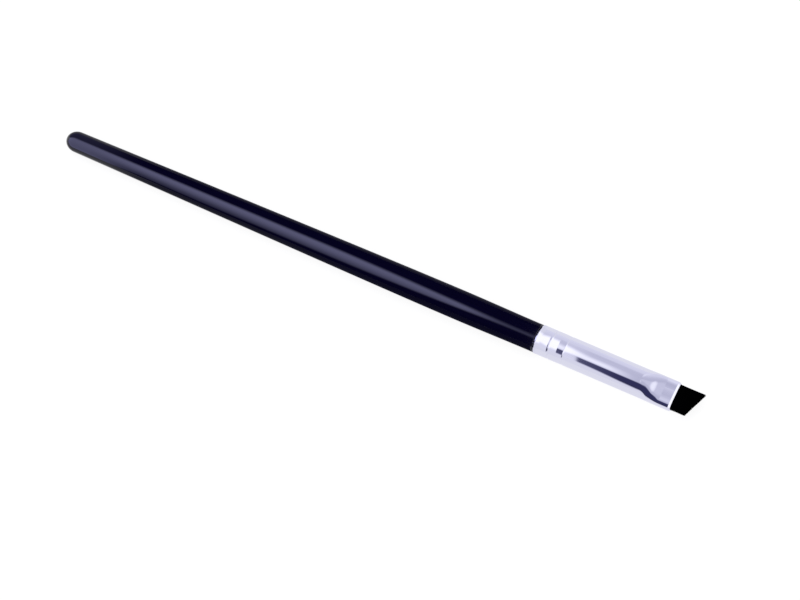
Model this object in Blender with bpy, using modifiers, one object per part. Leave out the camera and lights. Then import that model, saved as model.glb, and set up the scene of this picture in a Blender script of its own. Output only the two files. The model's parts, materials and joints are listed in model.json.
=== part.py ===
"""Angled eyeliner brush: a turned wooden handle, a crimped metal ferrule pressed flat at its mouth,
and a short, dense tuft cut on a slant.

The brush is built along +X, from the rounded end of its handle (x = 0) to the tips of its tuft, with
the flats of the ferrule's mouth facing up and down and the tuft's long side at +Y. It is then laid down
the way it lies on a table: on the belly of its handle, with the origin on the table under its middle.
"""

import math
import random

import bmesh
import bpy
from mathutils import Euler, Vector
from mathutils.geometry import interpolate_bezier

# Handle: its outline from the rounded end to the ferrule, and the tenon inside the ferrule
handle_length = 0.1285
butt_diameter = 0.00498
butt_round_length = 0.0030
swell_diameter = 0.00700
swell_to_ferrule = 0.0207
handle_end_diameter = 0.00660
shoulder_rounding = 0.00012
balance_from_butt = 0.0948
resting_flat_depth = 0.00006
tenon_length = 0.0150
tenon_chamfer = 0.0006
glue_neck_from_shoulder = 0.0096
glue_neck_length = 0.0036
glue_neck_depth = 0.0008
taper_lead_share = 0.33
taper_rise_share = 0.375
swell_lead_share = 0.80
neck_lead_share = 0.33

# Ferrule: a drawn tube, crimped twice on the tenon and pressed flat at its mouth
ferrule_length = 0.0353
ferrule_diameter = 0.00706
ferrule_wall = 0.00027
rim_rounding = 0.00010
crimp_from_rim = 0.0036
crimp_spacing = 0.0038
crimp_width = 0.0006
crimp_depth = 0.00008
band_fall = 0.00008
band_fall_length = 0.0017
press_length = 0.0054
flats_length = 0.0031
mouth_width = 0.00705
mouth_thickness = 0.00380
mouth_flat_share = 0.60
lip_length = 0.00050
lip_turn = 0.00024
lip_inner_share = 0.35
mouth_power = 4.0
press_lag_power = 1.15

# Tuft: filaments that stand on the potted block of their roots, which the thread binds
tuft_long_side = 0.0060
tuft_short_side = 0.0036
tuft_recess = 0.0003
tip_rounding = 0.00035
tip_unevenness = 0.00012
strand_gap = 0.00006
strands_wide = 22
strands_deep = 14
tuft_spread_share = 1.04
tuft_thinning_share = 0.62
strand_taper_share = 0.86
block_width_share = 0.965
root_length = 0.0090
binding_from_root_end = 0.0010
binding_width = 0.0020
thread_thickness = 0.00030
thread_turns = 4

# Resin plug behind the roots
plug_length = 0.0030
plug_hollow = 0.0007

# Clearance between pieces that seat on each other, and the reach within which points are one
fit_gap = 0.0002
merge_reach = 0.00001

# Facets
handle_sides = 36
ferrule_sides = 40
butt_steps = 7
taper_steps = 12
neck_steps = 6
press_steps = 10

# Places that follow from the sizes above, along the brush
rim_x = handle_length + fit_gap
mouth_x = rim_x + ferrule_length
overall_length = mouth_x + tuft_long_side

# Places along the ferrule, from its rim
flats_from_rim = ferrule_length - flats_length
press_from_rim = flats_from_rim - press_length
lip_from_rim = ferrule_length - lip_length
strands_from_rim = ferrule_length - tuft_recess
root_end_from_rim = strands_from_rim - root_length
ferrule_radius = ferrule_diameter / 2
bore_radius = ferrule_radius - ferrule_wall
tenon_radius = bore_radius - fit_gap
inside_depth = ferrule_wall + fit_gap


def make_material(name, colour, roughness, metallic=0.0):
    """A plain surface with the piece's own colour."""
    material = bpy.data.materials.new(name)
    material.use_nodes = True
    surface = material.node_tree.nodes["Principled BSDF"]
    surface.inputs["Base Color"].default_value = (*colour, 1)
    surface.inputs["Roughness"].default_value = roughness
    surface.inputs["Metallic"].default_value = metallic
    material.diffuse_color = (*colour, 1)
    return material


def add_piece(name, work, material):
    """Turn a working mesh into a named piece of the brush, which rides on the empty that lays it down."""
    mesh = bpy.data.meshes.new(name)
    work.to_mesh(mesh)
    work.free()
    mesh.shade_smooth()
    mesh.set_sharp_from_angle(angle=math.radians(35))
    mesh.materials.append(material)
    piece = bpy.data.objects.new(name, mesh)
    piece.parent = lying_brush
    brush_collection.objects.link(piece)
    return piece


def link_chain(work, points, ring=False):
    """Join points into a profile; a ring's last point joins its first."""
    corners = [work.verts.new(point) for point in points]
    for first, second in zip(corners, corners[1:]):
        work.edges.new((first, second))
    if ring:
        work.edges.new((corners[-1], corners[0]))


def turn_on_lathe(name, profile, material, first_angle=0, ring=False):
    """A piece turned about the brush's axis, from (x, radius) points that run from butt to tuft."""
    work = bmesh.new()
    link_chain(work, [(radius, 0, x) for x, radius in reversed(profile)], ring)
    piece = add_piece(name, work, material)
    piece.rotation_mode = "ZYX"
    piece.rotation_euler = Euler((0, math.pi / 2, first_angle), "ZYX")
    turning = piece.modifiers.new("turning", "SCREW")
    turning.axis = "Z"
    turning.steps = handle_sides
    turning.render_steps = handle_sides
    turning.use_smooth_shade = True
    turning.use_merge_vertices = True
    turning.merge_threshold = merge_reach
    return piece


def spin_round_axis(profile, ring=False):
    """A working mesh turned about X from (x, out) points, ready to be pressed into an oval."""
    work = bmesh.new()
    link_chain(work, [(x, 0, out) for x, out in profile], ring)
    bmesh.ops.spin(work, geom=work.verts[:] + work.edges[:], cent=(0, 0, 0), axis=(1, 0, 0),
                   angle=math.tau, steps=ferrule_sides, use_merge=True)
    bmesh.ops.remove_doubles(work, verts=work.verts[:], dist=merge_reach)
    bmesh.ops.recalc_face_normals(work, faces=work.faces[:])
    return work


def curve_points(start, lead, trail, end, steps):
    """Points of one smooth curve without its last, so that curves follow on."""
    corners = [Vector((*corner, 0)) for corner in (start, lead, trail, end)]
    return [(point.x, point.y) for point in interpolate_bezier(*corners, steps + 1)[:-1]]


def handle_outline():
    """The lacquered outside as (x, radius): rounded end, long taper, swell and draw-in to the ferrule."""
    butt_radius = butt_diameter / 2
    swell_radius = swell_diameter / 2
    end_radius = handle_end_diameter / 2
    swell_x = handle_length - swell_to_ferrule
    taper_length = swell_x - butt_round_length
    taper_rise = swell_radius - butt_radius
    neck_drop = swell_radius - end_radius
    points = []
    for step in range(butt_steps):
        angle = math.pi / 2 * step / butt_steps
        points.append((butt_round_length * (1 - math.cos(angle)), butt_radius * math.sin(angle)))
    points += curve_points(
        (butt_round_length, butt_radius),
        (butt_round_length + taper_length * taper_lead_share, butt_radius + taper_rise * taper_rise_share),
        (butt_round_length + taper_length * swell_lead_share, swell_radius),
        (swell_x, swell_radius), taper_steps)
    points += curve_points(
        (swell_x, swell_radius),
        (swell_x + swell_to_ferrule * neck_lead_share, swell_radius),
        (handle_length - swell_to_ferrule * neck_lead_share, end_radius + neck_drop * neck_lead_share),
        (handle_length - shoulder_rounding, end_radius), neck_steps)
    points.append((handle_length - shoulder_rounding, end_radius))
    points.append((handle_length, end_radius - shoulder_rounding))
    return points


def crimp_stations():
    """Distances from the rim at which the crimps and the band between them bend."""
    half_width = crimp_width / 2
    first, second = crimp_from_rim, crimp_from_rim + crimp_spacing
    places = [first + half_width * step for step in (-1, -1 / 2, 0, 1 / 2, 1)]
    places.append(second - band_fall_length)
    places += [second + half_width * step for step in (-1, -1 / 2, 0, 1 / 2, 1)]
    return places


def crimp_depth_at(x):
    """How far the metal lies below the tube's full size: two crimps, and a band that sinks to the second."""
    half_width = crimp_width / 2
    first, second = crimp_from_rim, crimp_from_rim + crimp_spacing
    reach = min(abs(x - first), abs(x - second), half_width) / half_width
    groove = crimp_depth * (1 + math.cos(math.pi * reach)) / 2
    fall_start = second - band_fall_length
    sunk = band_fall * (x - fall_start) / band_fall_length if fall_start < x < second else 0
    return max(groove, sunk)


def lip_depth_at(x):
    """How far the mouth's edge is turned in, at a slant over the lip's length."""
    return lip_turn * max(0, x - lip_from_rim) / lip_length


def pressed_share(x):
    """0 where the tube is still round, 1 where it is flat: it leaves the tube slowly and lands softly."""
    along = (x - press_from_rim) / press_length
    along = min(max(along, 0), 1) ** press_lag_power
    return along * along * (3 - 2 * along)


def oval(x, depth):
    """The tube's section at a depth below its skin: half width, half height, height of flats, power."""
    share = pressed_share(x)
    flat_height = mouth_thickness / 2
    uncut_height = flat_height / (1 - mouth_flat_share ** mouth_power) ** (1 / mouth_power)
    half_width = ferrule_radius + (mouth_width / 2 - ferrule_radius) * share
    half_height = ferrule_radius + (uncut_height - ferrule_radius) * share
    cut_height = ferrule_radius + (flat_height - ferrule_radius) * share
    return half_width - depth, half_height - depth, cut_height - depth, 2 + (mouth_power - 2) * share


def oval_point(x, angle, depth):
    """Point of the tube's section at an angle round it."""
    half_width, half_height, cut_height, power = oval(x, depth)
    y = half_width * math.copysign(abs(math.cos(angle)) ** (2 / power), math.cos(angle))
    z = half_height * math.copysign(abs(math.sin(angle)) ** (2 / power), math.sin(angle))
    return y, min(max(z, -cut_height), cut_height)


def oval_height(x, y, depth):
    """Height of the tube's section above its middle, at a distance y from the axis."""
    half_width, half_height, cut_height, power = oval(x, depth)
    return min(half_height * (1 - abs(y / half_width) ** power) ** (1 / power), cut_height)


def press_sleeve(work):
    """Press a turned sleeve flat as the tube is: each point keeps its depth below the tube's skin."""
    for corner in work.verts:
        x, across, up = corner.co
        depth = ferrule_radius - math.hypot(across, up)
        corner.co = (rim_x + x, *oval_point(x, math.atan2(up, across), depth))


def press_core(work, depth):
    """Press a turned core of radius 1 into the section that lies at a depth below the tube's skin."""
    for corner in work.verts:
        x, across, up = corner.co
        out = math.hypot(across, up)
        y, z = oval_point(x, math.atan2(up, across), depth)
        corner.co = (rim_x + x, y * out, z * out)


def cut_resting_flat(piece):
    """The handle is cut where the table's top, at height 0, takes a sliver off the belly it lies on."""
    work = bmesh.new()
    bmesh.ops.create_cube(work, size=1)
    bmesh.ops.scale(work, verts=work.verts[:], vec=(overall_length, swell_diameter, swell_diameter))
    bmesh.ops.translate(work, verts=work.verts[:], vec=(0, 0, -swell_diameter / 2))
    mesh = bpy.data.meshes.new("table_cutter")
    work.to_mesh(mesh)
    work.free()
    cutter = bpy.data.objects.new("table_cutter", mesh)
    cutter.display_type = "WIRE"
    cutter.hide_render = True
    cutter_collection.objects.link(cutter)
    cutting = piece.modifiers.new("resting flat", "BOOLEAN")
    cutting.operation = "DIFFERENCE"
    cutting.solver = "EXACT"
    cutting.object = cutter


def make_handle():
    """Turned wood: its outline, a shoulder, and a tenon with crimp grooves and a neck for the glue."""
    tenon = [(handle_length, tenon_radius)]
    tenon += [(rim_x + x, tenon_radius - crimp_depth_at(x)) for x in crimp_stations()]
    neck_start = handle_length + glue_neck_from_shoulder
    neck_end = neck_start + glue_neck_length
    neck_radius = tenon_radius - glue_neck_depth
    tenon_end = handle_length + tenon_length
    tenon += [
        (neck_start, tenon_radius),
        (neck_start, neck_radius),
        (neck_end, neck_radius),
        (neck_end, tenon_radius),
        (tenon_end - tenon_chamfer, tenon_radius),
        (tenon_end, tenon_radius - tenon_chamfer),
        (tenon_end, 0),
    ]
    half_facet = math.pi / handle_sides
    handle = turn_on_lathe("handle", outline + tenon, lacquer, half_facet)
    cut_resting_flat(handle)


def make_tenon_glue():
    """The sleeve of dried glue that fills the tenon's neck."""
    start = handle_length + glue_neck_from_shoulder + fit_gap
    end = start + glue_neck_length - 2 * fit_gap
    inner = tenon_radius - glue_neck_depth + fit_gap
    profile = [(start, inner), (start, tenon_radius), (end, tenon_radius), (end, inner)]
    turn_on_lathe("tenon_glue", profile, wood_glue, ring=True)


def make_ferrule():
    """A closed wall, turned with its crimps and its lip, then pressed flat towards the mouth."""
    tube = [press_from_rim + press_length * step / press_steps for step in range(press_steps + 1)]
    stations = crimp_stations() + tube + [lip_from_rim, ferrule_length]
    skin = [(0, rim_rounding), (rim_rounding, 0)]
    skin += [(x, crimp_depth_at(x) + lip_depth_at(x)) for x in stations]
    bore = [(x, crimp_depth_at(x) + lip_depth_at(x) * lip_inner_share + ferrule_wall) for x in reversed(stations)]
    bore.append((0, ferrule_wall))
    work = spin_round_axis([(x, ferrule_radius - depth) for x, depth in skin + bore], ring=True)
    press_sleeve(work)
    add_piece("ferrule", work, tube_metal)


def tuft_length_at(y, half_width):
    """The slanted cut: short at the -Y side, long at the +Y side."""
    return tuft_short_side + (tuft_long_side - tuft_short_side) * (1 + y / half_width) / 2


def make_tuft():
    """Tapered filaments, each standing on its own cell of the block in which the roots are potted."""
    half_width = oval(strands_from_rim, inside_depth)[0]
    half_height = oval(strands_from_rim, inside_depth)[2]
    front_x = rim_x + strands_from_rim
    work = bmesh.new()
    bmesh.ops.create_grid(work, x_segments=strands_wide, y_segments=strands_deep, size=1)
    for corner in work.verts:
        y = corner.co.x * half_width * block_width_share
        z = corner.co.y * oval_height(strands_from_rim, y, inside_depth)
        corner.co = (front_x, y, z)
    cells = work.faces[:]

    # The block runs back from the cells, with a waist that takes the thread
    waist_depth = thread_thickness + fit_gap
    waist_end = root_length - binding_from_root_end
    waist_start = waist_end - binding_width
    sunk = 0
    for back, sink in ((waist_start, 0), (waist_start, waist_depth), (waist_end, waist_depth),
                       (waist_end, 0), (root_length, 0)):
        rim = [edge for edge in work.edges if edge.is_boundary]
        made = bmesh.ops.extrude_edge_only(work, edges=rim)["geom"]
        for corner in [item for item in made if isinstance(item, bmesh.types.BMVert)]:
            corner.co.x = front_x - back
            corner.co.y *= (half_width - sink) / (half_width - sunk)
            corner.co.z *= (half_height - sink) / (half_height - sunk)
        sunk = sink
    bmesh.ops.holes_fill(work, edges=[edge for edge in work.edges if edge.is_boundary], sides=0)

    # Each cell keeps a narrow margin and grows into a filament that leans, thins and ends on the cut
    bmesh.ops.inset_individual(work, faces=cells, thickness=strand_gap / 2, use_even_offset=True)
    tips = bmesh.ops.extrude_discrete_faces(work, faces=cells)["faces"]
    random.seed(7)
    for tip in tips:
        root = tip.calc_center_median()
        outward = root.z / half_height
        reach = tuft_length_at(root.y, half_width) - tip_rounding * outward * outward
        reach -= tip_unevenness * random.random()
        end = Vector((mouth_x + reach, root.y * tuft_spread_share, root.z * tuft_thinning_share))
        for corner in tip.verts:
            offset = (corner.co - root) * strand_taper_share
            corner.co = end + Vector((0, offset.y, offset.z * tuft_thinning_share))
    bmesh.ops.recalc_face_normals(work, faces=work.faces[:])
    add_piece("bristle_tuft", work, filament)


def make_binding():
    """The thread wound round the roots, as one band with a ridge for each turn."""
    end = root_end_from_rim + binding_from_root_end + fit_gap
    width = binding_width - 2 * fit_gap
    top = ferrule_radius - inside_depth
    bottom = top - thread_thickness
    profile = [(end, bottom)]
    for turn in range(thread_turns):
        for share, groove_share in ((0, 1 / 2), (1 / 4, 0), (3 / 4, 0)):
            x = end + width * (turn + share) / thread_turns
            profile.append((x, top - thread_thickness * groove_share))
    profile += [(end + width, top - thread_thickness / 2), (end + width, bottom)]
    work = spin_round_axis(profile, ring=True)
    press_sleeve(work)
    add_piece("root_binding", work, thread)


def make_plug():
    """The resin plug poured behind the roots, with the hollow that it sets with."""
    front = root_end_from_rim - fit_gap
    back = front - plug_length
    profile = [(front, 0), (front, 1), (back, 1), (back + plug_hollow * 3 / 4, 1 / 2), (back + plug_hollow, 0)]
    work = spin_round_axis(profile)
    press_core(work, inside_depth)
    add_piece("root_glue_plug", work, resin)


# Clear the scene and open the brush's own collection
for old in list(bpy.data.objects):
    bpy.data.objects.remove(old, do_unlink=True)
brush_collection = bpy.data.collections.new("angled_eyeliner_brush")
cutter_collection = bpy.data.collections.new("cutters")
for collection in (brush_collection, cutter_collection):
    bpy.context.scene.collection.children.link(collection)

# Materials of the pieces
lacquer = make_material("black_lacquered_wood", (0.006, 0.005, 0.012), 0.16)
tube_metal = make_material("bright_aluminium_tube", (0.80, 0.80, 0.84), 0.22, 1.0)
filament = make_material("black_filament", (0.006, 0.006, 0.007), 0.55)
thread = make_material("binding_thread", (0.62, 0.58, 0.48), 0.9)
resin = make_material("clear_resin", (0.60, 0.46, 0.22), 0.25)
wood_glue = make_material("dried_wood_glue", (0.72, 0.66, 0.50), 0.45)

# How the brush lies: the facet under its balance point is level, and sunk by the depth of the resting flat
outline = handle_outline()
facet_share = math.cos(math.pi / handle_sides)
belly = max(index for index, (x, radius) in enumerate(outline) if x < balance_from_butt)
belly_start_x, belly_start_radius = outline[belly]
belly_end_x, belly_end_radius = outline[belly + 1]
lie_angle = math.atan2((belly_end_radius - belly_start_radius) * facet_share, belly_end_x - belly_start_x)
lie_height = belly_start_radius * facet_share * math.cos(lie_angle) - belly_start_x * math.sin(lie_angle)
lie_height -= resting_flat_depth
lying_brush = bpy.data.objects.new("lying_brush", None)
lying_brush.empty_display_size = ferrule_diameter
lying_brush.rotation_euler = Euler((0, -lie_angle, 0))
lying_brush.location = (-overall_length / 2 * math.cos(lie_angle), 0, lie_height)
brush_collection.objects.link(lying_brush)

make_handle()
make_tenon_glue()
make_ferrule()
make_plug()
make_binding()
make_tuft()
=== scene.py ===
"""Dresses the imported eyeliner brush: a lacquered handle, a bright drawn ferrule and a dense, slanted tuft.

Each new piece is modelled along X, from the rounded end of the handle (x = 0) to the tips of the tuft,
with the tuft's long side at +Y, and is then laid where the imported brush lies. Lengths are in metres.
"""

import json
import math
import random

import bmesh
import bpy
from mathutils import Matrix, Quaternion, Vector
from mathutils.geometry import interpolate_bezier


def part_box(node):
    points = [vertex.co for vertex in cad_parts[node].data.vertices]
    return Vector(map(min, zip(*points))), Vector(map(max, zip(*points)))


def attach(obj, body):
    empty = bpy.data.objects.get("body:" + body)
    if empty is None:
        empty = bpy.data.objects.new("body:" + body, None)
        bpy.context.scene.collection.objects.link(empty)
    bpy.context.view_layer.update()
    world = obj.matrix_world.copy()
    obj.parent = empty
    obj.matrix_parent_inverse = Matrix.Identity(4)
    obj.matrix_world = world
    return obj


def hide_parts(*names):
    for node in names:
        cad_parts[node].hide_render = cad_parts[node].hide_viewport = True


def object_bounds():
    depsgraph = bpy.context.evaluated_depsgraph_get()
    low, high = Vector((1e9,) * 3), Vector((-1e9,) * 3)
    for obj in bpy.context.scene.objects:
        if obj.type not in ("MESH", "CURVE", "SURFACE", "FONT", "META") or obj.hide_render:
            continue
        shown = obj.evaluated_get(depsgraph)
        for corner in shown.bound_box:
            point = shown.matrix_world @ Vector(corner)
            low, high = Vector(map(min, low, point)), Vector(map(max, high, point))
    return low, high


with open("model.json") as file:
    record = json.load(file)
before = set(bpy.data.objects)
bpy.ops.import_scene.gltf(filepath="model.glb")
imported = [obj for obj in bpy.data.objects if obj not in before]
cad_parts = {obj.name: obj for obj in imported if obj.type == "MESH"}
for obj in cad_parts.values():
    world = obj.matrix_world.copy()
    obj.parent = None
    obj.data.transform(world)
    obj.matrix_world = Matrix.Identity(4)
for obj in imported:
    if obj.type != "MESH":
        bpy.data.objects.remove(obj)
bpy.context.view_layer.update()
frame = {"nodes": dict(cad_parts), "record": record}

# Handle, from its rounded end to the end of the tenon inside the ferrule
handle_length = 0.1285
butt_diameter = 0.00512
butt_round_length = 0.0030
swell_diameter = 0.00716
swell_to_ferrule = 0.0207
handle_end_diameter = 0.00684
shoulder_rounding = 0.00012
tenon_length = 0.0150
tenon_chamfer = 0.0006
glue_neck_from_shoulder = 0.0096
glue_neck_length = 0.0036
glue_neck_depth = 0.0008
taper_lead_share = 0.33
taper_rise_share = 0.375
swell_lead_share = 0.80
neck_lead_share = 0.33

# Ferrule
ferrule_length = 0.0353
ferrule_diameter = 0.00706
ferrule_wall = 0.00027
rim_rounding = 0.00006
crimp_from_rim = 0.0036
crimp_spacing = 0.0038
crimp_width = 0.00046
crimp_depth = 0.00012
band_fall = 0.000045
band_fall_length = 0.0017
press_length = 0.0054
flats_length = 0.0031
mouth_width = 0.00705
mouth_thickness = 0.00380
mouth_flat_share = 0.60
panel_crown = 0.00008
lip_length = 0.00050
lip_turn = 0.00026
lip_inner_share = 0.35
mouth_power = 4.0
press_lag_power = 1.15

# Tuft
tuft_long_side = 0.00620
tuft_short_side = 0.00363
tuft_recess = 0.0003
tuft_clearance = 0.00002
tuft_thinning_share = 0.62
tip_rounding = 0.00035
tip_unevenness = 0.00025
filament_gap = 0.000008
filaments_wide = 72
filaments_deep = 34
filament_jitter_share = 0.2
filament_lean = 0.00005
# Shares of a filament's length, each with the share of its thickness that is left there
filament_thinning = ((0.35, 0.96), (0.7, 0.86), (0.9, 0.62), (1.0, 0.30))
block_fill_share = 0.995
root_length = 0.0090
binding_from_root_end = 0.0010
binding_width = 0.0020
thread_thickness = 0.00030

# Clearance between pieces that seat on each other, and the reach within which points are one
fit_gap = 0.0002
merge_reach = 0.000002

# Fineness
handle_sides = 144
ferrule_sides = 176
ring_spacing = 0.0004
support = 0.00002
crease_angle = math.radians(35)

# Camera, as the photograph sees the brush
view_aim = (0.007971, -0.003885, 0)
view_distance = 0.89543
view_azimuth = math.radians(61.403)
view_elevation = math.radians(70.292)
view_roll = math.radians(-36.654)
view_width = math.radians(12.0)
view_clip_start = 0.05

# Studio: a softbox overhead for the light, and glowing cards round the brush that only its gloss sees,
# which paint the reflections that it shows
softbox_diameter = 1.2
softbox_height = 1.1
softbox_strength = 1.4
room_strength = 0.6
floor_size = 8.0
table_glow = 0.86
tent_radius = 0.15
tent_length = 0.60
tent_split = 0.0882
tent_end = 0.34
tent_angles = (-91, 91)
tent_sides = 182
handle_tent_steps = 260
ferrule_tent_steps = 640
collar_inner_radius = 0.0036
collar_from_rim = 0.0002
collar_lean = 0.27
collar_steps = (8, 120)
table_card_steps = (120, 40)
table_card_lift = 0.00005
table_card_gap = 0.004

# What the metal sees, as painted reflections: soft-edged patches of grey, each painted over those before it.
# A patch has its tone, then where it starts and ends along the brush, then where it starts and ends round
# it, in degrees from overhead towards -Y. Each start or end is the stretch over which it fades; None leaves
# that side open.
metal_reflection_ground = 0.785
metal_reflection_patches = (
    (0.745, None, None, (-85, -65), None),
    (0.685, None, None, (-63, -45), None),
    (0.600, (0.098, 0.106), None, (-63, -45), None),
    (0.800, None, None, (0, 45), None),
    (0.560, (0.112, 0.120), None, (-60, -20), (20, 60)),
)
# The painted reflection on the flats of the mouth, with a fine highlight line and a fine grey line on their
# crown
flats_fades = ((0.122, 0.124), (0.132, 0.140))
flats_reflection_ground = 0.82
flats_reflection_patches = (
    (0.54, None, None, (-54, -17), None),
    (0.60, None, None, (-18, -14), None),
    (0.71, None, None, (-13.7, -11.7), (-11.7, -9.7)),
    (0.56, None, None, (-10.2, -8.2), (-8, -6)),
    (0.74, None, None, (-5, -1), (4, 10)),
)
# The painted reflection on the press that leads to them, on its steepest part and on the lip
press_reflection_patches = (
    (0.76, (0.132, 0.140), None, None, (-70, -20)),
    (0.66, (0.132, 0.140), None, (-20, -14), (-6, 0)),
    (1.00, (0.240, 0.260), None, None, None),
    (1.20, (0.272, 0.280), None, None, None),
)

# Places that follow from the sizes
rim_x = handle_length + fit_gap
mouth_x = rim_x + ferrule_length
flats_from_rim = ferrule_length - flats_length
press_from_rim = flats_from_rim - press_length
lip_from_rim = ferrule_length - lip_length
strands_from_rim = ferrule_length - tuft_recess
ferrule_radius = ferrule_diameter / 2
tenon_radius = ferrule_radius - ferrule_wall - fit_gap
inside_depth = ferrule_wall + fit_gap

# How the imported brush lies, read from the flats of its mouth and the end of its handle
flats = {mount["name"]: mount for mount in frame["record"]["mounts"]}
flats_middle = (Vector(flats["mouth_flat_top"]["pos_m"]) + Vector(flats["mouth_flat_bottom"]["pos_m"])) / 2
flat_normal = Vector(flats["mouth_flat_top"]["axis"])
lie_angle = math.atan2(-flat_normal.x, flat_normal.z)
brush_axis = Vector((math.cos(lie_angle), 0, math.sin(lie_angle)))
butt_tip = flats_middle - brush_axis * (flats_middle.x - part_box("handle")[0].x) / brush_axis.x
lying = Matrix.Translation(butt_tip) @ Matrix.Rotation(-lie_angle, 4, "Y")


def step_between(low, high, value):
    """0 below the first bound, 1 above the second, and a smooth step between."""
    share = min(max((value - low) / (high - low), 0), 1)
    return share * share * (3 - 2 * share)


def between(first, second, share):
    """The value at a share of the way from the first to the second."""
    return first + (second - first) * share


def linear(hex_colour):
    """An sRGB colour, such as D8D8E8, as the linear RGBA that shaders take."""
    channels = [int(hex_colour[start:start + 2], 16) / 255 for start in (0, 2, 4)]
    return (*[c / 12.92 if c <= 0.04045 else ((c + 0.055) / 1.055) ** 2.4 for c in channels], 1)


def per_metre(size_mm):
    """The texture scale at which one feature of a pattern is this many millimetres wide."""
    return 1000 / size_mm


def shown(sockets, name):
    """The socket of that name among those that the node's settings show."""
    return next(socket for socket in sockets if socket.name == name and socket.enabled)


def add_node(tree, kind, values=None, links=None, **settings):
    """Add a node: its own settings, values for its sockets, and links from other nodes' outputs."""
    node = tree.nodes.new(kind)
    for name, value in settings.items():
        setattr(node, name, value)
    for name, value in (values or {}).items():
        shown(node.inputs, name).default_value = value
    for name, source in (links or {}).items():
        tree.links.new(source, shown(node.inputs, name))
    return node


def start_material(name, **values):
    """A material whose surface shader has these values, with its node tree and that shader."""
    material = bpy.data.materials.new(name)
    material.use_nodes = True
    surface = material.node_tree.nodes["Principled BSDF"]
    for socket, value in values.items():
        surface.inputs[socket.replace("_", " ")].default_value = value
    return material, material.node_tree, surface


def stretched_noise(tree, along_mm, across_mm, detail=3.0):
    """Noise whose features are long along the brush and narrow across it, in the object's own space."""
    place = add_node(tree, "ShaderNodeTexCoord")
    stretch = add_node(tree, "ShaderNodeMapping", {"Scale": (across_mm / along_mm, 1, 1)},
                       {"Vector": place.outputs["Object"]})
    return add_node(tree, "ShaderNodeTexNoise", {"Scale": per_metre(across_mm), "Detail": detail},
                    {"Vector": stretch.outputs["Vector"]})


def finish_surface(tree, surface, noise, dark, light, smooth, rough):
    """Let a noise shift the surface between two colours and two roughnesses."""
    tone = add_node(tree, "ShaderNodeMix", {"A": dark, "B": light}, {"Factor": noise.outputs["Fac"]},
                    data_type="RGBA")
    tree.links.new(shown(tone.outputs, "Result"), surface.inputs["Base Color"])
    haze = add_node(tree, "ShaderNodeMapRange", {"To Min": smooth, "To Max": rough},
                    {"Value": noise.outputs["Fac"]})
    tree.links.new(haze.outputs["Result"], surface.inputs["Roughness"])


def raise_surface(tree, surface, noise, height):
    """Let a noise raise the surface by up to this height."""
    relief = add_node(tree, "ShaderNodeBump", {"Strength": 1.0, "Distance": height},
                      {"Height": noise.outputs["Fac"]})
    tree.links.new(relief.outputs["Normal"], surface.inputs["Normal"])


def black_lacquered_wood():
    """Turned wood under sprayed black lacquer: a deep gloss, faintly blue, with a little orange peel."""
    material, tree, surface = start_material("black_lacquered_wood", IOR=1.5)
    grain = stretched_noise(tree, along_mm=9, across_mm=0.6)
    finish_surface(tree, surface, grain, linear("050318"), linear("080622"), 0.03, 0.05)
    peel = stretched_noise(tree, along_mm=2.4, across_mm=1.4, detail=1.0)
    raise_surface(tree, surface, peel, 0.0000015)
    return material


def drawn_aluminium():
    """Aluminium tube, drawn and bright anodised: mirror-like, with faint lines along its length."""
    material, tree, surface = start_material("drawn_aluminium", Metallic=1.0)
    lines = stretched_noise(tree, along_mm=14, across_mm=0.16)
    finish_surface(tree, surface, lines, linear("E4E4EE"), linear("EEEEF6"), 0.025, 0.045)
    waves = stretched_noise(tree, along_mm=6, across_mm=1.2, detail=1.0)
    raise_surface(tree, surface, waves, 0.000003)
    return material


def black_filament():
    """Extruded black synthetic filament with a dull skin: nearly no shine, slightly uneven in tone."""
    material, tree, surface = start_material("black_filament", IOR=1.5, Specular_IOR_Level=0.01)
    tone = stretched_noise(tree, along_mm=3, across_mm=0.12)
    finish_surface(tree, surface, tone, linear("000001"), linear("010102"), 0.6, 0.8)
    return material


def waxed_thread():
    """Twisted undyed thread, waxed: straw coloured, dull, with the ridges of its ply."""
    material, tree, surface = start_material("waxed_thread", IOR=1.5)
    ply = stretched_noise(tree, along_mm=0.15, across_mm=0.4)
    finish_surface(tree, surface, ply, linear("B8AD90"), linear("D6CDB4"), 0.75, 0.95)
    raise_surface(tree, surface, ply, 0.00002)
    return material


def cured_resin():
    """Poured epoxy, cured: amber and glossy, with a slow cloudiness."""
    material, tree, surface = start_material("cured_resin", IOR=1.55)
    cloud = stretched_noise(tree, along_mm=1.2, across_mm=1.2)
    finish_surface(tree, surface, cloud, linear("B8924C"), linear("D2B070"), 0.18, 0.32)
    return material


def dried_wood_glue():
    """White wood glue, dried: pale, half glossy, with the skin wrinkled a little."""
    material, tree, surface = start_material("dried_wood_glue", IOR=1.47)
    skin = stretched_noise(tree, along_mm=0.5, across_mm=0.5)
    finish_surface(tree, surface, skin, linear("D9CFB2"), linear("E8E0C8"), 0.38, 0.55)
    raise_surface(tree, surface, skin, 0.00001)
    return material


def turn(profile, sides, ring=False):
    """A closed body turned about X from (x, radius) points; a ring's last point joins its first."""
    work = bmesh.new()
    corners = [work.verts.new((x, 0, radius)) for x, radius in profile]
    for first, second in zip(corners, corners[1:]):
        work.edges.new((first, second))
    if ring:
        work.edges.new((corners[-1], corners[0]))
    bmesh.ops.spin(work, geom=work.verts[:] + work.edges[:], cent=(0, 0, 0), axis=(1, 0, 0),
                   angle=math.tau, steps=sides, use_merge=True)
    bmesh.ops.remove_doubles(work, verts=work.verts[:], dist=merge_reach)
    bmesh.ops.recalc_face_normals(work, faces=work.faces[:])
    return work


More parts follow.
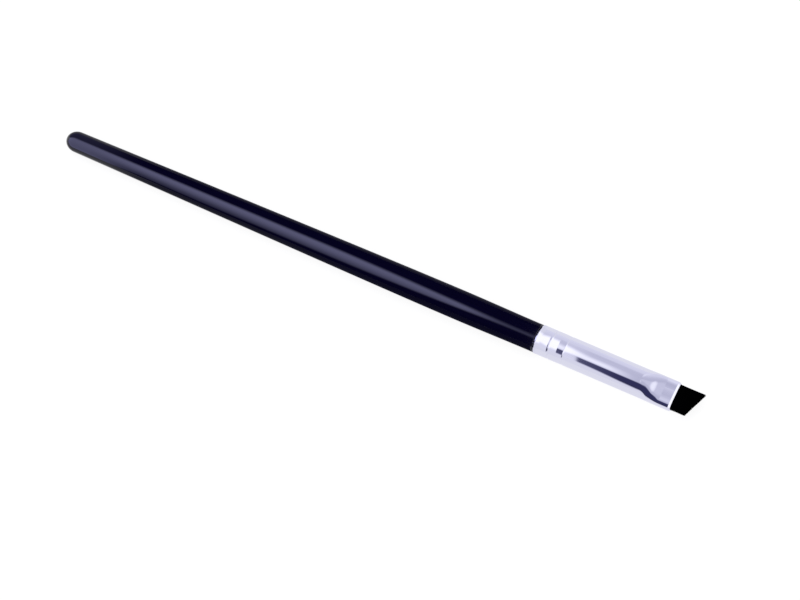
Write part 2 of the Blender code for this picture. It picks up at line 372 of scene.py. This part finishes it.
def lay_piece(name, work, material, node):
    """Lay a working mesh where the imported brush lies, as the piece that stands for one CAD node."""
    bmesh.ops.transform(work, matrix=lying, verts=work.verts[:])
    mesh = bpy.data.meshes.new(name)
    work.to_mesh(mesh)
    work.free()
    mesh.shade_smooth()
    mesh.set_sharp_from_angle(angle=crease_angle)
    mesh.materials.append(material)
    piece = bpy.data.objects.new(name, mesh)
    bpy.context.scene.collection.objects.link(piece)
    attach(piece, "root")
    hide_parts(node)
    return piece


def curve_points(start, lead, trail, end, steps):
    """Points of one smooth curve without its last, so that curves follow on."""
    corners = [Vector((*corner, 0)) for corner in (start, lead, trail, end)]
    return [(point.x, point.y) for point in interpolate_bezier(*corners, steps + 1)[:-1]]


def quarter_round(reach, steps):
    """Points of a quarter circle of this radius, as (along, out) from its start, without its last."""
    angles = [math.pi / 2 * step / steps for step in range(steps)]
    return [(reach * math.sin(angle), reach * (1 - math.cos(angle))) for angle in angles]


def handle_outline():
    """The lacquered outside as (x, radius): rounded end, long taper, swell and draw-in to the ferrule."""
    butt_radius = butt_diameter / 2
    swell_radius = swell_diameter / 2
    end_radius = handle_end_diameter / 2
    swell_x = handle_length - swell_to_ferrule
    taper_length = swell_x - butt_round_length
    taper_rise = swell_radius - butt_radius
    butt_steps, taper_steps, neck_steps, shoulder_steps = 20, 60, 24, 4
    points = []
    for step in range(butt_steps):
        angle = math.pi / 2 * step / butt_steps
        points.append((butt_round_length * (1 - math.cos(angle)), butt_radius * math.sin(angle)))
    points += curve_points(
        (butt_round_length, butt_radius),
        (butt_round_length + taper_length * taper_lead_share, butt_radius + taper_rise * taper_rise_share),
        (butt_round_length + taper_length * swell_lead_share, swell_radius),
        (swell_x, swell_radius), taper_steps)
    points += curve_points(
        (swell_x, swell_radius),
        (swell_x + swell_to_ferrule * neck_lead_share, swell_radius),
        (handle_length - swell_to_ferrule * neck_lead_share, end_radius),
        (handle_length - shoulder_rounding, end_radius), neck_steps)
    shoulder_x = handle_length - shoulder_rounding
    points += [(shoulder_x - 3 * support, end_radius), (shoulder_x - support, end_radius)]
    for along, drop in quarter_round(shoulder_rounding, shoulder_steps):
        points.append((handle_length - shoulder_rounding + along, end_radius - drop))
    points.append((handle_length, end_radius - shoulder_rounding))
    return points


def crimp_stations(steps):
    """Distances from the rim at which the crimps and the band between them bend."""
    half_width = crimp_width / 2
    places = []
    for middle in (crimp_from_rim, crimp_from_rim + crimp_spacing):
        places += [middle + half_width * (2 * step / steps - 1) for step in range(steps + 1)]
    fall_start = crimp_from_rim + crimp_spacing - band_fall_length
    places += [fall_start - support, fall_start, fall_start + support]
    return sorted(places)


def crimp_depth_at(x):
    """How far the metal lies below the tube's full size: two crimps, and a band that sinks to the second."""
    half_width = crimp_width / 2
    first, second = crimp_from_rim, crimp_from_rim + crimp_spacing
    reach = min(abs(x - first), abs(x - second), half_width) / half_width
    groove = crimp_depth * (1 - reach)
    fall_start = second - band_fall_length
    sunk = band_fall * (x - fall_start) / band_fall_length if fall_start < x < second else 0
    return max(groove, sunk)


def lip_depth_at(x):
    """How far the mouth's edge is turned in, at a slant over the lip's length."""
    return lip_turn * max(0, x - lip_from_rim) / lip_length


def pressed_share(x):
    """0 where the tube is still round, 1 where it is flat: it leaves the tube slowly and lands softly."""
    along = (x - press_from_rim) / press_length
    along = min(max(along, 0), 1) ** press_lag_power
    return along * along * (3 - 2 * along)


def oval(x, depth):
    """The tube's section at a depth below its skin: half width, half height, height of flats, power."""
    share = pressed_share(x)
    flat_height = mouth_thickness / 2
    uncut_height = flat_height / (1 - mouth_flat_share ** mouth_power) ** (1 / mouth_power)
    half_width = ferrule_radius + (mouth_width / 2 - ferrule_radius) * share
    half_height = ferrule_radius + (uncut_height - ferrule_radius) * share
    cut_height = ferrule_radius + (flat_height - ferrule_radius) * share
    return half_width - depth, half_height - depth, cut_height - depth, 2 + (mouth_power - 2) * share


def oval_point(x, angle, depth):
    """Point of the tube's section at an angle round it."""
    half_width, half_height, cut_height, power = oval(x, depth)
    y = half_width * math.copysign(abs(math.cos(angle)) ** (2 / power), math.cos(angle))
    z = half_height * math.copysign(abs(math.sin(angle)) ** (2 / power), math.sin(angle))
    cut_height += panel_crown * pressed_share(x) * max(0, 1 - (y / half_width / mouth_flat_share) ** 2)
    return y, min(max(z, -cut_height), cut_height)


def oval_height(x, y, depth):
    """Height of the tube's section above its middle, at a distance y from the axis."""
    half_width, half_height, cut_height, power = oval(x, depth)
    return min(half_height * (1 - min(abs(y / half_width), 1) ** power) ** (1 / power), cut_height)


def press_sleeve(work):
    """Press a turned sleeve flat as the tube is: each point keeps its depth below the tube's skin."""
    for corner in work.verts:
        x, across, up = corner.co
        depth = ferrule_radius - math.hypot(across, up)
        corner.co = (rim_x + x, *oval_point(x, math.atan2(up, across), depth))


def make_handle(material):
    """The turned handle: its outline, a shoulder, and the tenon that the ferrule grips."""
    crimp_steps = 8
    tenon = [(handle_length, tenon_radius)]
    tenon += [(rim_x + x, tenon_radius - crimp_depth_at(x)) for x in crimp_stations(crimp_steps)]
    neck_start = handle_length + glue_neck_from_shoulder
    neck_end = neck_start + glue_neck_length
    neck_radius = tenon_radius - glue_neck_depth
    tenon_end = handle_length + tenon_length
    tenon += [
        (neck_start, tenon_radius),
        (neck_start, neck_radius),
        (neck_end, neck_radius),
        (neck_end, tenon_radius),
        (tenon_end - tenon_chamfer, tenon_radius),
        (tenon_end, tenon_radius - tenon_chamfer),
        (tenon_end, 0),
    ]
    work = turn(handle_outline() + tenon, handle_sides)
    return lay_piece("lacquered_handle", work, material, "handle")


def make_ferrule(material):
    """The drawn tube: turned with its crimps and its lip, then pressed flat towards the mouth."""
    rim_steps, crimp_steps = 5, 14
    angles = [math.pi / 2 * step / rim_steps for step in range(rim_steps + 1)]
    rim = [(rim_rounding * (1 - math.cos(angle)), rim_rounding * (1 - math.sin(angle)))
           for angle in angles]
    tube_steps = round((lip_from_rim - rim_rounding) / ring_spacing)
    tube = [between(rim_rounding, lip_from_rim, step / tube_steps) for step in range(1, tube_steps)]
    tube += [rim_rounding + support, rim_rounding + 3 * support, lip_from_rim - support]
    lip = [lip_from_rim, lip_from_rim + support, ferrule_length - support, ferrule_length]
    stations = sorted(crimp_stations(crimp_steps) + tube + lip)
    skin = [(x, crimp_depth_at(x) + lip_depth_at(x)) for x in stations]
    bore = [(x, crimp_depth_at(x) + lip_depth_at(x) * lip_inner_share + ferrule_wall)
            for x in reversed(stations)]
    bore.append((0, ferrule_wall))
    work = turn([(x, ferrule_radius - depth) for x, depth in rim + skin + bore], ferrule_sides, ring=True)
    press_sleeve(work)
    return lay_piece("drawn_ferrule", work, material, "ferrule")


def tuft_length_at(y, half_width):
    """The slanted cut: short at the -Y side, long at the +Y side."""
    return tuft_short_side + (tuft_long_side - tuft_short_side) * (1 + y / half_width) / 2


def make_tuft(material):
    """Fine tapered filaments, each standing on its own cell of the block in which the roots are potted."""
    mouth_depth = ferrule_wall + lip_turn * lip_inner_share + tuft_clearance
    half_width, half_height = [oval(strands_from_rim, mouth_depth)[side] for side in (0, 2)]
    front_x = rim_x + strands_from_rim
    chance = random.Random(7)
    work = bmesh.new()
    bmesh.ops.create_grid(work, x_segments=filaments_wide, y_segments=filaments_deep, size=1)
    across, deep = 2 / filaments_wide, 2 / filaments_deep
    for corner in work.verts:
        inside = not corner.is_boundary
        shift_y = chance.uniform(-1, 1) * filament_jitter_share * across * inside
        shift_z = chance.uniform(-1, 1) * filament_jitter_share * deep * inside
        y = (corner.co.x + shift_y) * half_width * block_fill_share
        z = (corner.co.y + shift_z) * oval_height(strands_from_rim, y, mouth_depth)
        corner.co = (front_x, y, z)
    cells = work.faces[:]

    # The block runs back from the cells, with a waist that takes the thread
    waist_depth = thread_thickness + fit_gap
    waist_end = root_length - binding_from_root_end
    waist_start = waist_end - binding_width
    root_half_width, root_half_height = [oval(strands_from_rim, inside_depth)[side] for side in (0, 2)]
    wide, high = half_width, half_height
    block = ((lip_length, 0), (waist_start, 0), (waist_start, waist_depth),
             (waist_end, waist_depth), (waist_end, 0), (root_length, 0))
    for back, sink in block:
        rim = [edge for edge in work.edges if edge.is_boundary]
        made = bmesh.ops.extrude_edge_only(work, edges=rim)["geom"]
        for corner in [item for item in made if isinstance(item, bmesh.types.BMVert)]:
            corner.co.x = front_x - back
            corner.co.y *= (root_half_width - sink) / wide
            corner.co.z *= (root_half_height - sink) / high
        wide, high = root_half_width - sink, root_half_height - sink
    bmesh.ops.holes_fill(work, edges=[edge for edge in work.edges if edge.is_boundary], sides=0)

    # Each cell keeps a narrow margin and grows into a filament that leans, thins and ends near the cut
    bmesh.ops.inset_individual(work, faces=cells, thickness=filament_gap, use_even_offset=True)
    roots = [cell.calc_center_median() for cell in cells]
    ends = []
    for root in roots:
        outward = root.z / half_height
        reach = tuft_length_at(root.y, half_width) - tip_rounding * outward * outward
        reach -= tip_unevenness * chance.random()
        lean = Vector((0, chance.gauss(0, filament_lean), chance.gauss(0, filament_lean)))
        ends.append(Vector((mouth_x + reach, root.y, root.z * tuft_thinning_share)) + lean)
    tips = cells
    before = 1
    for along, thick in filament_thinning:
        tips = bmesh.ops.extrude_discrete_faces(work, faces=tips)["faces"]
        for tip, root, end in zip(tips, roots, ends):
            middle = tip.calc_center_median()
            bow = along * along * (3 - 2 * along)
            place = Vector((root.x + (end.x - root.x) * along,
                            root.y + (end.y - root.y) * bow, root.z + (end.z - root.z) * bow))
            for corner in tip.verts:
                corner.co = place + (corner.co - middle) * thick / before
        before = thick
    bmesh.ops.recalc_face_normals(work, faces=work.faces[:])
    return lay_piece("filament_tuft", work, material, "bristle_tuft")


def dress_node(name, material):
    """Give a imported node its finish."""
    slots = frame["nodes"][name].data.materials
    slots.clear()
    slots.append(material)


def stage_object(name, mesh, material):
    """An object of the studio, which isn't part of the brush."""
    mesh.materials.append(material)
    thing = bpy.data.objects.new(name, mesh)
    bpy.context.scene.collection.objects.link(thing)
    return thing


def seen_directly(tree):
    """1 for what the camera, a reflection or a refraction sees, and 0 for what only lights the brush."""
    ray = add_node(tree, "ShaderNodeLightPath")
    mirrored = add_node(tree, "ShaderNodeMath", operation="MAXIMUM")
    tree.links.new(ray.outputs["Is Glossy Ray"], mirrored.inputs[0])
    tree.links.new(ray.outputs["Is Transmission Ray"], mirrored.inputs[1])
    seen = add_node(tree, "ShaderNodeMath", operation="MAXIMUM")
    tree.links.new(ray.outputs["Is Camera Ray"], seen.inputs[0])
    tree.links.new(mirrored.outputs["Value"], seen.inputs[1])
    return seen.outputs["Value"]


def make_floor():
    """The pale table top under the brush, which glows only towards the camera and reflections."""
    material = bpy.data.materials.new("white_table")
    material.use_nodes = True
    tree = material.node_tree
    tree.nodes.clear()
    matt = add_node(tree, "ShaderNodeBsdfDiffuse", {"Color": linear("7C7C7E")})
    level = add_node(tree, "ShaderNodeMapRange", {"To Max": table_glow}, {"Value": seen_directly(tree)})
    glow = add_node(tree, "ShaderNodeEmission", {"Color": (1, 1, 1, 1)},
                    {"Strength": level.outputs["Result"]})
    both = add_node(tree, "ShaderNodeAddShader")
    tree.links.new(matt.outputs["BSDF"], both.inputs[0])
    tree.links.new(glow.outputs["Emission"], both.inputs[1])
    add_node(tree, "ShaderNodeOutputMaterial", {}, {"Surface": both.outputs["Shader"]})
    work = bmesh.new()
    bmesh.ops.create_grid(work, x_segments=1, y_segments=1, size=floor_size / 2)
    bmesh.ops.translate(work, verts=work.verts[:], vec=(0, 0, min(0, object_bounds()[0].z)))
    mesh = bpy.data.meshes.new("table_top")
    work.to_mesh(mesh)
    work.free()
    return stage_object("table_top", mesh, material)


def covered(place, start, end):
    """1 after one fade and before another, 0 outside them; None in place of a fade leaves that side open."""
    share = 1
    if start:
        share *= step_between(*start, place)
    if end:
        share *= 1 - step_between(*end, place)
    return share


def blurred(edge, blur):
    """The fade of an edge that is blurred to both sides."""
    return edge - blur, edge + blur


def paint(tone, patches, angle, x):
    """The tone at one place after patches are painted over it in their order."""
    for patch_tone, start, end, start_round, end_round in patches:
        tone = between(tone, patch_tone, covered(x, start, end) * covered(angle, start_round, end_round))
    return tone


def handle_tone(angle, x):
    """The handle's painted highlight, seen in its gloss: a bright window, which narrows and fades towards
    the ferrule.
    """
    # Where only the rounded end looks, the painted highlight is wider and its glow more even
    butt = covered(x, None, (-0.062, -0.040))
    far_edge = between(-15, 3, step_between(0.02, 0.088, x)) - 4 * butt
    near_edge = between(76, 63, step_between(-0.03, 0.02, x)) + 40 * butt
    near_edge = between(near_edge, 18.5, step_between(0.012, 0.100, x))
    painted_highlight = covered(angle, blurred(far_edge, 14), blurred(near_edge, 9))
    fall = 1 - between(0.80, 0.25, butt) * step_between(0, 75, angle)
    strength = between(between(2.2, 1.9, butt), 0.75, step_between(0.066, 0.086, x))
    glow = max(strength * fall * painted_highlight, 0.22 * butt)
    return glow, glow, 0.03 + glow * 1.7


def core_share(angle, x):
    """How much of the painted bright band is at this place: widest beside the first crimp, gone before the
    press.
    """
    widening = covered(x, (0.089, 0.0915), (0.094, 0.0975))
    far_edge = between(-28, -13, step_between(0.094, 0.105, x)) - 10 * widening
    near_edge = between(25, 17, step_between(0.095, 0.1005, x)) + 11 * widening
    return covered(x, None, (0.107, 0.119)) * covered(angle, blurred(far_edge, 16), blurred(near_edge, 12))


def strip_share(angle, x):
    """How much of the painted dark strip is at this place: it starts behind the crimps and widens to the
    mouth.
    """
    far_edge = 20 - 9 * covered(x, (0.135, 0.205), (0.225, 0.245))
    near_edge = between(56, 71, step_between(0.102, 0.121, x)) + 10 * step_between(0.121, 0.126, x)
    along = covered(x, (0.1004, 0.1013), (0.232, 0.246))
    return along * covered(angle, blurred(far_edge, 5), blurred(near_edge, 7))


def ferrule_tone(angle, x):
    """The ferrule's painted reflection: pale grey sides, a bright band overhead and a dark strip on the near
    side.
    """
    tone = paint(metal_reflection_ground, metal_reflection_patches, angle, x)
    tone = between(tone, paint(flats_reflection_ground, flats_reflection_patches, angle, x), covered(x, *flats_fades))
    tone = paint(tone, press_reflection_patches, angle, x)
    bright = between(1.2, 1.0, step_between(0.097, 0.104, x))
    dark = between(0.085, 0.035, step_between(0.101, 0.115, x))
    tone = between(tone, bright, core_share(angle, x))
    tone = between(tone, dark, strip_share(angle, x))
    # The painted greys are bluish, least so on the near side; the darkest and the brightest tones are
    # neutral
    blue = between(0.155, 0.115, step_between(45, 75, angle))
    return tone, tone, tone + blue * (1 - ((tone - 0.6) / 0.75) ** 2)


def glow_material(name):
    """A material that shines with the tones painted on a card, which the brush shows as painted reflections.
    """
    material = bpy.data.materials.new(name)
    material.use_nodes = True
    tree = material.node_tree
    tree.nodes.clear()
    painted = add_node(tree, "ShaderNodeAttribute", attribute_name="tone")
    glow = add_node(tree, "ShaderNodeEmission", {}, {"Color": painted.outputs["Color"]})
    add_node(tree, "ShaderNodeOutputMaterial", {}, {"Surface": glow.outputs["Emission"]})
    return material


def make_card(name, material, steps, place, tone):
    """A glowing card that only gloss sees, bent and painted by functions of the shares along it and across
    it.
    """
    work = bmesh.new()
    bmesh.ops.create_grid(work, x_segments=steps[0], y_segments=steps[1], size=1)
    tone_layer = work.verts.layers.float_color.new("tone")
    for corner in work.verts:
        along, across = (corner.co.x + 1) / 2, (corner.co.y + 1) / 2
        corner[tone_layer] = (*tone(along, across), 1)
        corner.co = place(along, across)
    mesh = bpy.data.meshes.new(name)
    work.to_mesh(mesh)
    work.free()
    card = stage_object(name, mesh, material)
    card.visible_camera = False
    card.visible_diffuse = False
    card.visible_shadow = False
    card.visible_transmission = False


def round_brush(x, radius, angle):
    """The place at this distance from the brush's axis, at an angle in degrees from overhead towards -Y."""
    turned = math.radians(angle)
    return lying @ Vector((x, -radius * math.sin(turned), radius * math.cos(turned)))


def make_tent(material):
    """Half a tunnel of painted reflections over the brush: one part for the handle's gloss, one for the
    ferrule's.
    """
    def make_part(start, end, steps, tone):
        def place(along, across):
            return round_brush(between(start, end, along), tent_radius, between(*tent_angles, across))

        def tone_at(along, across):
            return tone(between(*tent_angles, across), between(start, end, along))

        make_card("tent", material, (steps, tent_sides), place, tone_at)

    make_part(-tent_length, tent_split, handle_tent_steps, handle_tone)
    make_part(tent_split, tent_end, ferrule_tent_steps, ferrule_tone)


def make_collar(material):
    """A cone round the handle's end, edge-on to what the handle sees, which brightens the crimps' walls."""
    def place(along, across):
        reach = between(collar_inner_radius, tent_radius, along)
        x = rim_x + collar_from_rim - collar_lean * (reach - collar_inner_radius)
        return round_brush(x, reach, between(-180, 180, across))

    def tone(along, across):
        angle = abs(between(-180, 180, across))
        level = between(1.2, 0.80, step_between(30, 50, angle))
        return level, level, level * 1.12

    make_card("collar", material, collar_steps, place, tone)


def make_table_cards(material):
    """Cards on the table that paint reflections: dark ones beside the handle and pale ones beside the
    ferrule.
    """
    def away(across):
        return between(table_card_gap, tent_radius, across ** 2)

    def butt_end(y):
        return -tent_length

    def split(y):
        return handle_length - (handle_length - tent_split) / tent_radius * y

    def mouth_end(y):
        return tent_end

    # The dark cards paint dark reflections on the handle's sides, lighter towards its rounded end
    def near_tone(along, across):
        x = between(-tent_length, handle_length, along)
        grey = between(between(0.55, 0.13, step_between(0.008, 0.025, x)), 0.04, step_between(0.03, 0.10, x))
        return grey, grey, grey + 0.03

    def far_tone(along, across):
        x = between(-tent_length, handle_length, along)
        grey = 0.05 + 0.0009 / away(across) + 0.3 * (1 - step_between(0.005, 0.03, x))
        return grey, grey, grey + 0.03

    def pale_tone(along, across):
        return 0.85, 0.85, 0.93

    def make_part(name, side, start, end, tone):
        def place(along, across):
            y = away(across)
            return Vector((butt_tip.x + between(start(y), end(y), along), side * y, table_card_lift))

        make_card(name, material, table_card_steps, place, tone)

    for side, dark_tone in ((-1, near_tone), (1, far_tone)):
        make_part("dark_table_card", side, butt_end, split, dark_tone)
        make_part("pale_table_card", side, split, mouth_end, pale_tone)


def make_softbox():
    """A large round softbox overhead."""
    lamp = bpy.data.lights.new("softbox", "AREA")
    lamp.shape = "DISK"
    lamp.size = softbox_diameter
    # A lamp's power is pi times its area times the strength with which it shines
    area = math.pi * (softbox_diameter / 2) ** 2
    lamp.energy = softbox_strength * math.pi * area
    softbox = bpy.data.objects.new("softbox", lamp)
    softbox.location = (0, 0, softbox_height)
    softbox.visible_camera = False
    softbox.visible_glossy = False
    bpy.context.scene.collection.objects.link(softbox)


def light_room():
    """A white room, dimmer as light than as background."""
    world = bpy.data.worlds.new("white_room")
    bpy.context.scene.world = world
    world.use_nodes = True
    tree = world.node_tree
    tree.nodes.clear()
    level = add_node(tree, "ShaderNodeMapRange", {"To Min": room_strength, "To Max": 1.0},
                     {"Value": seen_directly(tree)})
    room = add_node(tree, "ShaderNodeBackground", {"Color": (1, 1, 1, 1)},
                    {"Strength": level.outputs["Result"]})
    add_node(tree, "ShaderNodeOutputWorld", {}, {"Surface": room.outputs["Background"]})


def set_camera():
    """A long lens above the tuft's end, rolled so that the brush runs down to the right."""
    lens = bpy.data.cameras.new("camera")
    lens.angle = view_width
    camera = bpy.data.objects.new("camera", lens)
    back = Vector((math.sin(view_azimuth) * math.cos(view_elevation),
                   -math.cos(view_azimuth) * math.cos(view_elevation), math.sin(view_elevation)))
    camera.location = Vector(view_aim) + back * view_distance
    camera.rotation_mode = "QUATERNION"
    camera.rotation_quaternion = (-back).to_track_quat("-Z", "Y") @ Quaternion((0, 0, 1), view_roll)
    lens.clip_start = view_clip_start
    lens.clip_end = 2 * floor_size
    bpy.context.scene.collection.objects.link(camera)
    bpy.context.scene.camera = camera


make_handle(black_lacquered_wood())
make_ferrule(drawn_aluminium())
make_tuft(black_filament())
dress_node("root_binding", waxed_thread())
dress_node("root_glue_plug", cured_resin())
dress_node("tenon_glue", dried_wood_glue())

make_floor()
light_room()
make_softbox()
painted_card = glow_material("painted_card")
make_tent(painted_card)
make_collar(painted_card)
make_table_cards(painted_card)
set_camera()
bpy.context.scene.view_settings.view_transform = "Standard"
